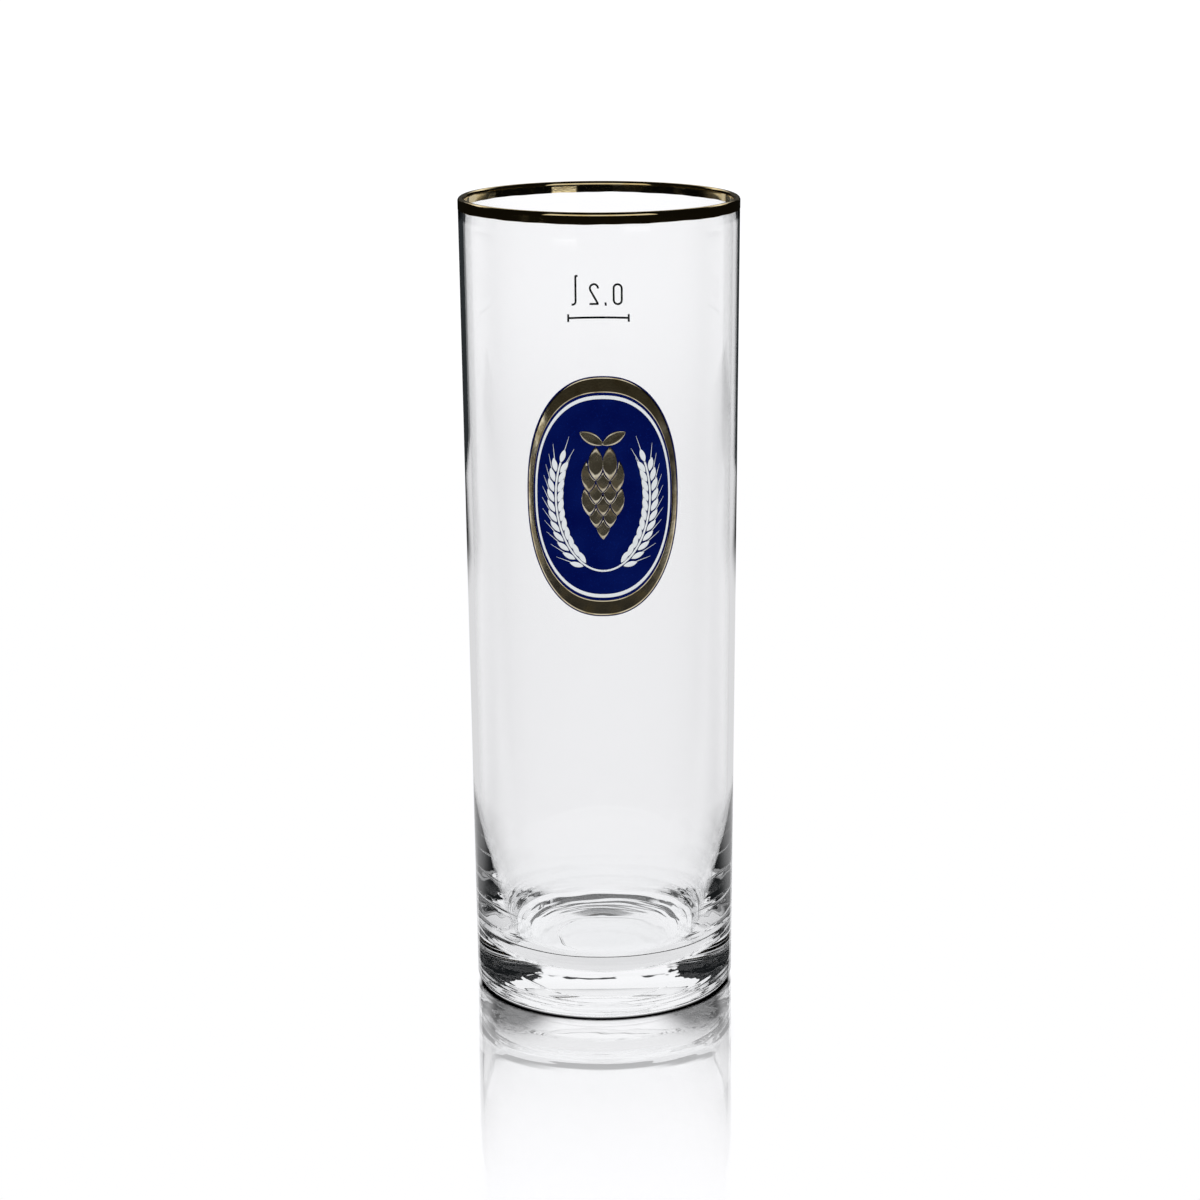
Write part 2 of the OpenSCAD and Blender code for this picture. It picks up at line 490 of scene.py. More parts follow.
class NodeSheet:
    """Builds one node tree by short calls, in which a value may be a number or another node's output."""

    def __init__(self, tree: bpy.types.NodeTree) -> None:
        """Start from an empty tree.

        Args:
            tree: The node tree to fill.
        """
        self.tree = tree
        tree.nodes.clear()

    def add(
        self, kind: str, settings: dict[str, object] | None = None, **inputs: object
    ) -> bpy.types.Node:
        """Add a node, set its properties and fill its inputs.

        Args:
            kind: Blender's name of the node type.
            settings: Properties of the node itself.
            inputs: Values by the input's name, with _ for a blank, or by its number, with i0 for the first.

        Returns:
            The new node.
        """
        node = self.tree.nodes.new(kind)
        for name, value in (settings or {}).items():
            setattr(node, name, value)
        for name, value in inputs.items():
            numbered = name[0] == "i" and name[1:].isdigit()
            socket = node.inputs[int(name[1:]) if numbered else name.replace("_", " ")]
            if isinstance(value, Socket):
                self.tree.links.new(value, socket)
            else:
                socket.default_value = value
        return node

    def place(self, kind: str = "Object") -> Socket:
        """Give the shaded point's coordinates, or a direction's with Generated in the world."""
        return self.add("ShaderNodeTexCoord").outputs[kind]

    def axes(self, vector: Socket) -> bpy.types.NodeOutputs:
        """Split a vector into its X, Y and Z."""
        return self.add("ShaderNodeSeparateXYZ", None, Vector=vector).outputs

    def math(self, operation: str, *values: object) -> Socket:
        """Give the result of one of Blender's Math operations."""
        inputs = {f"i{number}": value for number, value in enumerate(values)}
        return self.add("ShaderNodeMath", {"operation": operation}, **inputs).outputs[0]

    def product(self, *values: object) -> Socket:
        """Multiply values."""
        return reduce(lambda first, second: self.math("MULTIPLY", first, second), values)

    def largest(self, *values: object) -> Socket:
        """Give the largest of values."""
        return reduce(lambda first, second: self.math("MAXIMUM", first, second), values)

    def rest(self, share: Socket) -> Socket:
        """Give 1 less a share."""
        return self.math("SUBTRACT", 1.0, share)

    def away(self, value: Socket, middle: float | Socket = 0.0) -> Socket:
        """Give how far a value lies from a middle."""
        return self.math("ABSOLUTE", self.math("SUBTRACT", value, middle))

    def fit(self, value: Socket, ramp: Ramp) -> Socket:
        """Give a ramp's result for a value."""
        node = self.add(
            "ShaderNodeMapRange",
            {"interpolation_type": "SMOOTHSTEP"},
            Value=value,
            From_Min=ramp.low,
            From_Max=ramp.high,
            To_Min=ramp.first,
            To_Max=ramp.second,
        )
        return node.outputs[0]

    def noise(self, vector: Socket, scale: float, detail: float) -> Socket:
        """Give a noise texture's value.

        Args:
            vector: Coordinates to read.
            scale: Lumps in a unit of length.
            detail: Octaves of finer lumps.

        Returns:
            The value's socket.
        """
        return self.add("ShaderNodeTexNoise", None, Vector=vector, Scale=scale, Detail=detail).outputs[0]

    def bump(self, height: Socket, strength: float, depth: float) -> Socket:
        """Give normals that follow a height, with a strength and a depth in metres."""
        node = self.add("ShaderNodeBump", None, Height=height, Strength=strength, Distance=depth)
        return node.outputs[0]

    def mix(self, share: Socket, first: object, second: object) -> Socket:
        """Mix two numbers by a share that runs from 0, the first, to 1, the second."""
        node = self.add("ShaderNodeMix", {"data_type": "FLOAT"}, Factor=share, i2=first, i3=second)
        return node.outputs[0]

    def blend(self, share: object, first: object, second: object, kind: str = "MIX") -> Socket:
        """Mix two colours.

        Args:
            share: Runs from 0, the first colour, to 1, the second.
            first: Red, green and blue, or a socket.
            second: Red, green and blue, or a socket.
            kind: Blender's name of the way they mix.

        Returns:
            The mixed colour's socket.
        """
        pair = [value if isinstance(value, Socket) else (*value, 1.0) for value in (first, second)]
        settings = {"data_type": "RGBA", "blend_type": kind}
        return self.add("ShaderNodeMix", settings, Factor=share, i6=pair[0], i7=pair[1]).outputs[2]

    def surface(self, shader: bpy.types.Node) -> None:
        """Make a shader the material's surface."""
        self.add("ShaderNodeOutputMaterial", None, Surface=shader.outputs[0])

    def principled(self, **inputs: object) -> None:
        """Make a Principled shader with these inputs the material's surface."""
        self.surface(self.add("ShaderNodeBsdfPrincipled", None, **inputs))


def new_material(name: str) -> tuple[Material, NodeSheet]:
    """Make a node material.

    Args:
        name: Name of the finish.

    Returns:
        The material and its empty node sheet.
    """
    material = bpy.data.materials.new(name)
    material.use_nodes = True
    return material, NodeSheet(material.node_tree)


@dataclass(frozen=True)
class ClearGlass:
    """Soda-lime glass: clear, with a trace of grey-green in clouds in the thick base."""

    clear: Colour = (0.9975, 0.9985, 1.0)
    tint: Colour = (0.975, 0.985, 0.988)
    ior: float = 1.52
    base: Ramp = Ramp(0.004, 0.03, 1.0, 0.0)
    clouds: float = 90.0

    def material(self) -> Material:
        """Build the finish: a clear refracting shader with a faint, uneven tint in the base.

        Returns:
            The material.
        """
        material, sheet = new_material("clear_glass")
        place = sheet.place()
        base = sheet.fit(sheet.axes(place)["Z"], self.base)
        share = sheet.product(sheet.noise(place, self.clouds, 0.0), base)
        sheet.principled(
            Base_Color=sheet.blend(share, self.clear, self.tint),
            Roughness=0.0,
            IOR=self.ior,
            Transmission_Weight=1.0,
        )
        return material


@dataclass(frozen=True)
class Gilding:
    """Fired-on gold with faint brush marks and a little wear."""

    name: str
    bright: Colour
    dull: Colour
    polish: float
    rubbed: float
    grain: float = 0.12
    grain_scale: float = 2600.0
    grain_depth: float = 0.00004
    patch_scale: float = 420.0
    patch: Ramp = Ramp(0.42, 0.72)
    wear: tuple[float, float] = (0.35, 0.75)

    def material(self) -> Material:
        """Build the finish: metal whose colour and gloss change in small rubbed patches.

        Returns:
            The material.
        """
        material, sheet = new_material(self.name)
        place = sheet.place()
        patches = sheet.noise(place, self.patch_scale, 4.0)
        grain = sheet.noise(place, self.grain_scale, 2.0)
        share = sheet.fit(patches, self.patch)
        sheet.principled(
            Base_Color=sheet.blend(share, self.bright, self.dull),
            Metallic=1.0,
            Roughness=sheet.fit(patches, Ramp(*self.wear, self.polish, self.rubbed)),
            Normal=sheet.bump(grain, self.grain, self.grain_depth),
        )
        return material


@dataclass(frozen=True)
class Enamel:
    """Glossy fired-on enamel, printed through a screen."""

    name: str
    colour: Colour
    thin: Colour
    shine: float = 0.5
    gloss: Ramp = Ramp(0.3, 0.8, 0.18, 0.32)
    cloud_scale: float = 160.0
    cloud: Ramp = Ramp(0.3, 0.75, 0.0, 0.3)
    speck_scale: float = 3800.0
    speck: Ramp = Ramp(0.6, 0.76, 0.0, 0.7)
    grain: float = 0.15
    grain_depth: float = 0.00002

    def material(self) -> Material:
        """Build the finish: an even ground with thin spots and a fine screen grain.

        Returns:
            The material.
        """
        material, sheet = new_material(self.name)
        place = sheet.place()
        clouds = sheet.noise(place, self.cloud_scale, 1.0)
        specks = sheet.noise(place, self.speck_scale, 1.0)
        share = sheet.math("ADD", sheet.fit(clouds, self.cloud), sheet.fit(specks, self.speck))
        sheet.principled(
            Base_Color=sheet.blend(share, self.colour, self.thin),
            Roughness=sheet.fit(clouds, self.gloss),
            Specular_IOR_Level=self.shine,
            Normal=sheet.bump(specks, self.grain, self.grain_depth),
        )
        return material


def made_by(maker: ClearGlass | Gilding | Enamel) -> Material:
    """Give a field that the maker fills with its material when the finishes are set up."""
    return field(default_factory=maker.material)


@dataclass
class Finishes:
    """The materials that the pieces share."""

    glass: Material = made_by(ClearGlass())
    bright_gold: Material = made_by(
        Gilding("bright_gold", (0.9, 0.74, 0.42), (0.8, 0.6, 0.27), 0.03, 0.09, 0.03)
    )
    print_gold: Material = made_by(Gilding("gold_print", (0.85, 0.75, 0.53), (0.5, 0.4, 0.22), 0.09, 0.2))
    relief_gold: Material = made_by(Gilding("gold_relief", (0.8, 0.73, 0.57), (0.5, 0.41, 0.25), 0.18, 0.36))
    blue: Material = made_by(Enamel("blue_enamel", (0.0004, 0.0032, 0.062), (0.0015, 0.012, 0.13), 0.03))
    white: Material = made_by(Enamel("white_enamel", (0.8, 0.83, 0.84), (0.66, 0.7, 0.74)))
    dark: Material = made_by(Enamel("dark_enamel", (0.006, 0.006, 0.007), (0.015, 0.015, 0.016)))


def settle(piece: bpy.types.Object, slot: str, node: str | None = None) -> None:
    """Tie a piece to the frame and report it.

    Args:
        piece: The finished piece.
        slot: The record's material slot of its finish; not used.
        node: The solid that it stands for, if there is one.
    """
    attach(piece, BODY)
    if node:
        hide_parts(node)
    LOG.info("%s: %d faces", piece.name, len(piece.data.polygons))


@dataclass
class GlassBody:
    """The glass itself: one blown and pressed piece with a heavy base.

    Ripples of hundredths of a millimetre or less cover it and are higher inside the base, which also has
    streaks and rings. The underside has rings of its own and a deeper part-ring mark. Starts and ends are
    radii between which a form comes in or dies out. Each of the mark's arcs is the angle of its middle, how
    sharply it ends and its share of the depth.
    """

    section: GlassSection
    steps: int = 272
    wall_ripple: float = 0.0015
    base_ripple: float = 0.012
    ripples: tuple[Wave, ...] = (
        Wave(2, 0.11, 0.4, 1.0),
        Wave(3, -0.23, 1.9, 0.8),
        Wave(5, 0.31, 4.2, 0.6),
        Wave(7, -0.52, 2.7, 0.5),
    )
    ripple_start: tuple[float, float] = (0.0, 9.0)
    streak_depth: float = 0.006
    streaks: tuple[Wave, ...] = (Wave(9, 1.3, 0.3, 0.6), Wave(13, -1.9, 1.1, 0.4))
    wander: tuple[Wave, ...] = (Wave(2, 0.0, 0.6, 0.8), Wave(5, 0.4, 2.2, 0.6))
    ring_pitch: float = 1.3
    ring_depth: float = 0.01
    ring_start: tuple[float, float] = (12.0, 14.5)
    ring_end: tuple[float, float] = (21.5, 19.0)
    under_gap: float = 0.01
    under_end: tuple[float, float] = (19.4, 18.0)
    under_pitch: float = 1.9
    under_depth: float = 0.02
    under_start: tuple[float, float] = (12.0, 15.0)
    mark_r: float = 9.6
    mark_w: float = 0.22
    mark_depth: float = 0.22
    mark_wander: Wave = Wave(5, 0.0, 0.4, 0.35)
    mark_arcs: tuple[tuple[float, int, float], ...] = ((3.45, 10, 1.0), (4.6, 6, 0.3))

    def sunk(self, outline: np.ndarray, base: np.ndarray) -> np.ndarray:
        """Work out how far the uneven surface lies inside the outline.

        Ripples and streaks are sums of sines round the axis and along the outline, and rings are sines along
        the outline or the radius that wander round the axis. All are raised, so that none stands out.

        Args:
            outline: The section's points.
            base: Share by which each belongs to the inside of the base.

        Returns:
            The distance inwards along the normal at each inner outline point and angle.
        """
        angle = around(self.steps)
        along = lengths(outline)[1:-1, None]
        radius, height = outline[1:-1, :1], outline[1:-1, 1:]
        share = base[1:-1, None]
        size = self.wall_ripple + (self.base_ripple - self.wall_ripple) * share
        waves = size * sum(wave.height + wave.at(angle, along) for wave in self.ripples)
        fine = sum(wave.height + wave.at(angle, along) for wave in self.streaks)
        waves = (waves + self.streak_depth * share * fine) * smooth_step(*self.ripple_start, radius)
        wander = sum(wave.at(angle, along) for wave in self.wander)
        rings = self.ring_depth * (1.0 + np.sin(TURN * along / self.ring_pitch + wander)) * share
        rings = rings * smooth_step(*self.ring_start, radius) * smooth_step(*self.ring_end, radius)
        under_rings = self.under_depth * (1.0 + np.sin(TURN * radius / self.under_pitch + wander))
        under = self.mark(radius, angle) + under_rings * smooth_step(*self.under_start, radius)
        low = height < self.section.punt_depth + self.under_gap
        return waves + rings + under * low * smooth_step(*self.under_end, radius)

    def mark(self, radius: np.ndarray, angle: np.ndarray) -> np.ndarray:
        """Work out the part-ring mark: a bell curve across a wavy ring times powers of (1 + cos) / 2.

        Args:
            radius: Radii of the outline's points.
            angle: Angles round the axis.

        Returns:
            The mark's depth at each radius and angle.
        """
        off = (radius - self.mark_r - self.mark_wander.at(angle)) / self.mark_w
        turns = sum(
            share * (0.5 + 0.5 * np.cos(angle - middle)) ** sharp for middle, sharp, share in self.mark_arcs
        )
        return self.mark_depth * np.exp(-(off**2)) * turns

    def build(self, finishes: Finishes) -> None:
        """Make the body and put it in place of its solid.

        Args:
            finishes: The shared materials.
        """
        outline, base = self.section.outline()
        shell = revolve(outline, -self.sunk(outline, base))
        settle(shell.to_object("glass_wall_and_base", finishes.glass), "clear_glass", "glass_body")


@dataclass
class GiltLip:
    """The gold film over the lip, whose brushed edge waves a little below its steady part."""

    section: GlassSection
    depth: float = 2.0
    thickness: float = 0.02
    edge: float = 0.015
    seat: float = 0.012
    steady: float = 0.9
    brush: tuple[Wave, ...] = (Wave(5, 0.0, 0.7, 0.035), Wave(13, 0.0, 2.1, 0.03), Wave(31, 0.0, 0.0, 0.02))
    steps: int = 256
    lip_steps: int = 24
    side_steps: int = 5

    def build(self, finishes: Finishes) -> None:
        """Make the film and put it in place of its solid.

        Args:
            finishes: The shared materials.
        """
        section, sides = self.section, self.side_steps
        start, end = -section.lean, math.pi - section.lean
        foot = section.glass_h - self.depth
        grow = self.seat + self.thickness
        outer = arc(section.lip_centre, section.lip_r + grow, start, end, self.lip_steps)
        inner = arc(section.lip_centre, section.lip_r + self.seat, end, start, self.lip_steps)
        outs = (grow, self.seat, -section.wall_t - grow, -section.wall_t - self.seat)
        outer_foot, outer_seat, inner_foot, inner_seat = (section.wall_point(foot, out) for out in outs)
        edge = np.array([0.0, self.edge])
        loop = np.concatenate(
            [
                [outer_foot, outer_foot + edge],
                line(outer_foot, outer[0], sides),
                outer,
                line(outer[-1], inner_foot, sides),
                [inner_foot + edge, inner_foot, inner_seat],
                line(inner_seat, inner[0], sides),
                inner,
                line(inner[-1], outer_seat, sides),
                [outer_seat],
            ]
        )
        brush = sum(wave.at(around(self.steps)) for wave in self.brush)
        shell = revolve_loop(loop, brush * smooth_step(section.glass_h - self.steady, foot, loop[:, 1:]))
        settle(shell.to_object("gilt_lip_film", finishes.bright_gold), "gilding", "gilt_lip")


@dataclass(frozen=True)
class Oval:
    """An upright oval, |u / a|^n + |v / b|^n = 1, with n the exponent; 2 makes it an ellipse."""

    a: float
    b: float
    exponent: float = 2.0

    def inset(self, side: float, end: float) -> Oval:
        """Give the oval that lies inside by these widths."""
        return Oval(self.a - side, self.b - end, self.exponent)

    def at(self, t: np.ndarray | float) -> tuple[np.ndarray, np.ndarray]:
        """Give the points (a sin t, b cos t), each sine and cosine raised to 2 / n with its sign kept.

        Args:
            t: Angles, with 0 at the top.

        Returns:
            The u and the v of the points.
        """
        power = 2.0 / self.exponent
        sin, cos = np.sin(t), np.cos(t)
        return self.a * np.sign(sin) * np.abs(sin) ** power, self.b * np.sign(cos) * np.abs(cos) ** power


@dataclass(frozen=True)
class Leaf:
    """A pointed leaf, grain or bract along +v from its foot: where two equal circles overlap."""

    length: float
    width: float
    tip: float = 0.012

    @property
    def arc_r(self) -> float:
        """Radius of the two circles."""
        return (self.length**2 + self.width**2) / (4.0 * self.width)

    def half_width(self, along: np.ndarray) -> np.ndarray:
        """Half of the width at a distance from the foot, no narrower than the blunt tip."""
        reach = np.sqrt(np.maximum(self.arc_r**2 - (along - self.length / 2.0) ** 2, 0.0))
        return np.maximum(reach - (self.arc_r - self.width / 2.0), self.tip)

    def half_length(self, off: np.ndarray) -> np.ndarray:
        """Half of the length at a distance from the middle line."""
        return np.sqrt(np.maximum(self.arc_r**2 - (self.arc_r - self.width / 2.0 + off) ** 2, 0.0))


def turned(
    u: np.ndarray, v: np.ndarray, angle: float, foot: Sequence[float]
) -> tuple[np.ndarray, np.ndarray]:
    """Turn design points anticlockwise about the origin and move them to a foot.

    Args:
        u: Points to the right.
        v: Points upwards.
        angle: Angle in radians.
        foot: Where the origin goes.

    Returns:
        The moved coordinates.
    """
    cos, sin = math.cos(angle), math.sin(angle)
    return foot[0] + cos * u - sin * v, foot[1] + sin * u + cos * v


@dataclass
class Label:
    """The oval label: blue ground, gold border, white line, barley ears and a hop cone.

    Widths, steps and thicknesses are millimetres, and spreads and turns are degrees. Grooves, rounds and
    falls are shares of a layer's height, an awn's reach is a share of the grain's length, and the grain's
    shift is a share of its width.
    """

    section: GlassSection
    middle_z: float = 99.7
    seat: float = 0.012
    clear: float = 0.001

    oval: Oval = Oval(13.4, 21.8, 2.3)
    ground_t: float = 0.05
    ground_eye: float = 0.02
    ground_rings: int = 26
    ground_points: int = 144

    outline_w: float = 0.2
    border_w: tuple[float, float] = (0.9, 2.75)
    border_t: float = 0.09
    border_bevel: float = 0.26
    gap_w: tuple[float, float] = (0.3, 0.5)
    line_w: tuple[float, float] = (0.35, 0.65)
    line_bevel: float = 0.05
    layer_t: float = 0.05
    bevel_across: tuple[float, ...] = (0.0, 0.35, 0.7, 1.0, 1.2)
    bevel_lift: tuple[float, ...] = (0.15, 0.55, 0.88, 1.0, 1.0)
    bevel_limit: float = 0.34
    bevel_foot: float = 0.02
    ring_points: int = 240

    leaf_rows: int = 11
    leaf_columns: int = 7
    leaf_round: float = 0.55
    leaf_groove_w: float = 0.25

    stalk: Oval = Oval(8.36, 13.42)
    stalk_w: float = 0.33
    stalk_bare: float = 6.6
    stalk_turns: tuple[float, float] = (200.0, 20.0)
    stalk_points: int = 49
    stalk_samples: int = 181
    grain_pairs: int = 11
    grain_step: float = 1.815
    grain: Leaf = Leaf(2.53, 0.935)
    grain_spread: float = 22.0
    grain_shift: float = 0.4
    grain_groove: float = 0.35
    awn_spread: float = 17.6
    awn_reach: tuple[float, float] = (0.9, 2.0)
    awn_w: tuple[float, float] = (0.13, 0.04)
    awn_points: int = 7

    hop_rows: tuple[int, ...] = (2, 3, 2, 3, 2, 1)
    hop_top: float = 9.2
    hop_leaf: Leaf = Leaf(4.8, 2.1)
    hop_leaf_turn: float = 62.0
    hop_leaf_gap: float = 0.3
    hop_leaf_groove: float = 0.5
    bract: Leaf = Leaf(6.1, 2.6)
    bract_step: float = 2.15
    bract_pitch: float = 2.5
    bract_gap: float = 0.16
    bract_least: float = 0.01
    bract_round: float = 0.5
    bract_groove: float = 0.35
    bract_groove_w: float = 0.2
    bract_fall: float = 0.1
    bract_rows: int = 6
    bract_columns: int = 17

    def __post_init__(self) -> None:
        """Set up the wall under the label and the heights of its layers."""
        self.wall = WallPrint(self.section, WallSide.FRONT, self.middle_z)
        self.top = self.seat + self.ground_t
        self.under = self.top + self.clear

    def build(self, finishes: Finishes) -> None:
        """Make every layer and put each in place of its solid.

        Args:
            finishes: The shared materials.
        """
        border = self.oval.inset(self.outline_w, self.outline_w)
        white = border.inset(*self.border_w).inset(*self.gap_w)
        gold_ring = self.oval_ring(border, self.border_w, self.border_t, self.border_bevel)
        white_ring = self.oval_ring(white, self.line_w, self.layer_t, self.line_bevel)
        for shell, name, finish, slot, node in (
            (self.ground(), "label_blue_ground", finishes.blue, "blue_enamel", "label_ground"),
            (gold_ring, "label_gold_border", finishes.print_gold, "gilding", "label_border"),
            (white_ring, "label_white_line", finishes.white, "white_enamel", "label_line"),
            (self.barley(), "label_barley_ears", finishes.white, "white_enamel", "label_barley"),
            (self.hop(), "label_hop_cone", finishes.relief_gold, "gilding", "label_hop"),
        ):
            settle(shell.to_object(name, finish), slot, node)

    def ground(self) -> Shell:
        """Make the blue oval: rings that grow from the middle to the edge above and shrink again below.

        Returns:
            The closed film.
        """
        rings, points = self.ground_rings, self.ground_points
        share = np.linspace(self.ground_eye, 1.0, rings)
        share = np.concatenate([share, share[::-1]])[:, None]
        out = np.repeat([self.top, self.seat], rings)[:, None]
        u, v = self.oval.at(around(points))
        faces = [quad[::-1] for quad in grid_faces(2 * rings, points, wrap_columns=True)]
        last = (2 * rings - 1) * points
        caps = [list(range(points))[::-1], list(range(last, last + points))]
        return Shell(self.wall.lay(share * u, share * v, out), faces + caps)

    def oval_ring(self, outer: Oval, width: Sequence[float], thickness: float, bevel: float) -> Shell:
        """Make an oval ring with sloping edges on top of the ground.

        Each cross-section runs straight from the outer oval to the inner one at the same angle.

        Args:
            outer: Its outer edge.
            width: Its widths at the sides, and at the top and bottom.
            thickness: Height of its flat top over the ground.
            bevel: Width of the slope along each edge, at most about a third of the ring's.

        Returns:
            The closed ring.
        """
        t = around(self.ring_points)[None, :]
        outer_u, outer_v = outer.at(t)
        inner_u, inner_v = outer.inset(*width).at(t)
        slope = np.minimum(bevel / np.hypot(inner_u - outer_u, inner_v - outer_v), self.bevel_limit)
        steps = np.array(self.bevel_across)[:, None] * slope
        even = np.ones_like(slope)
        across = np.concatenate([steps, 0.5 * even, 1.0 - steps[::-1], even, 0.0 * even])
        lift = [*self.bevel_lift, 1.0, *self.bevel_lift[::-1], self.bevel_foot, self.bevel_foot]
        u = outer_u + (inner_u - outer_u) * across
        v = outer_v + (inner_v - outer_v) * across
        return self.wall.ring(u, v, self.top + np.array(lift)[:, None] * thickness)

    def leaf_film(self, leaf: Leaf, angle: float, foot: Sequence[float], groove: float) -> Shell:
        """Make one raised leaf on the ground.

        Its height falls with the fourth power of the way to its edge, with a bell-shaped groove along it.

        Args:
            leaf: Its outline.
            angle: Direction of growth, anticlockwise from straight up, in radians.
            foot: Its foot in the design.
            groove: How much lower the middle lies, as a share of the layer.

        Returns:
            The closed leaf.
        """
        along = np.linspace(0.0, leaf.length, self.leaf_rows)[:, None]
        across = np.linspace(-1.0, 1.0, self.leaf_columns)[None, :]
        u = across * leaf.half_width(along)
        u, v = turned(u, np.broadcast_to(along, u.shape), angle, foot)
        lift = 1.0 - self.leaf_round * across**4 - groove * np.exp(-((across / self.leaf_groove_w) ** 2))
        return self.wall.slab(u, v, self.under, self.top + lift * self.layer_t)

    def stroke(self, u: np.ndarray, v: np.ndarray, width: np.ndarray | float) -> Shell:
        """Make a raised line along a path of the design."""
        return self.wall.stroke(u, v, width, self.under, self.top + self.layer_t)

    def barley(self) -> Shell:
        """Make two ears of barley whose stalks cross at the foot and rise along an oval.

        Returns:
            All grains, awns and stalks.
        """
        t = np.linspace(*np.radians(self.stalk_turns), self.stalk_samples)
        length = lengths(np.stack(self.stalk.at(t), -1))
        grains = self.stalk_bare + np.arange(self.grain_pairs + 1) * self.grain_step
        stalk_t = np.interp(np.linspace(0.0, grains[-1], self.stalk_points), length, t)
        stalk_u, stalk_v = self.stalk.at(stalk_t)
        pieces: list[Shell] = []
        for flip in (1.0, -1.0):
            pieces.append(self.stroke(flip * stalk_u, stalk_v, self.stalk_w))
            for i, turn in enumerate(np.interp(grains, length, t)):
                pieces += self.grains_at(float(turn), flip, i == self.grain_pairs)
        return Shell.joined(pieces)

    def grains_at(self, t: float, flip: float, tip: bool) -> list[Shell]:
        """Make the pair of grains, or the single one at the tip, at a place on the stalk.

        Args:
            t: Angle on the stalk's oval.
            flip: 1 for the right-hand ear and -1 for the left-hand one.
            tip: Whether this is the last grain.

        Returns:
            The grains with their awns.
        """
        u, v = self.stalk.at(t)
        growth = math.atan2(self.stalk.b * math.sin(t), -self.stalk.a * math.cos(t)) - math.pi / 2
        reach = np.linspace(*self.awn_reach, self.awn_points) * self.grain.length
        awn_w = np.linspace(*self.awn_w, self.awn_points)
        pieces = []
        for side in (0.0,) if tip else (-1.0, 1.0):
            shift = side * self.grain.width * self.grain_shift
            foot = (flip * (u + shift * math.cos(growth)), v + shift * math.sin(growth))
            turn = flip * (growth - side * math.radians(self.grain_spread))
            awn_turn = flip * (growth - side * math.radians(self.awn_spread))
            pieces.append(self.leaf_film(self.grain, turn, foot, self.grain_groove))
            pieces.append(self.stroke(*turned(0.0 * reach, reach, awn_turn, foot), awn_w))
        return pieces

    def hop(self) -> Shell:
        """Make the hop cone: rows of hanging bracts, each cut back round those over it, and two leaves.

        Returns:
            All bracts and leaves.
        """
        pieces = [self.bract_film(i, j) for i, count in enumerate(self.hop_rows) for j in range(count)]
        for side in (-1.0, 1.0):
            foot = (side * self.hop_leaf_gap / 2.0, self.hop_top + self.hop_leaf_gap)
            turn = side * math.radians(self.hop_leaf_turn)
            pieces.append(self.leaf_film(self.hop_leaf, turn, foot, self.hop_leaf_groove))
        return Shell.joined(pieces)

    def bract_middles(self, row: int) -> np.ndarray:
        """Give the distances of a row's bracts from the cone's middle."""
        count = self.hop_rows[row]
        return (np.arange(count) - (count - 1) / 2.0) * self.bract_pitch

    def bract_film(self, row: int, place: int) -> Shell:
        """Make one bract between its own lower edge and the edges of the bracts above it.

        Its height falls with the sixth power of the way to its edge and a little towards its top, and a
        bell-shaped groove runs along it.

        Args:
            row: Row of the cone from the top.
            place: Place in the row from the left.

        Returns:
            The closed bract.
        """
        leaf = self.bract
        cover = Leaf(leaf.length + 2.0 * self.bract_gap, leaf.width + 2.0 * self.bract_gap)
        middle = self.bract_middles(row)[place]
        centre_v = self.hop_top - row * self.bract_step - leaf.length / 2.0
        across = np.linspace(-1.0, 1.0, self.bract_columns)
        side = across * leaf.width / 2.0
        reach = leaf.half_length(np.abs(side))
        low, high = centre_v - reach, centre_v + reach
        for above in range(max(row - 2, 0), row):
            for other in self.bract_middles(above):
                off = np.abs(middle + side - other)
                edge = centre_v + (row - above) * self.bract_step - cover.half_length(off)
                high = np.where(off < cover.width / 2.0, np.minimum(high, edge), high)
        high = np.maximum(high, low + self.bract_least)
        share = np.linspace(0.0, 1.0, self.bract_rows)[:, None]
        v = low + (high - low) * share
        groove = self.bract_groove * np.exp(-((side / self.bract_groove_w) ** 2))
        lift = 1.0 - self.bract_round * across**6 - groove - self.bract_fall * share
        u = np.broadcast_to(middle + side, v.shape)
        return self.wall.slab(u, v, self.under, self.top + lift * self.layer_t)


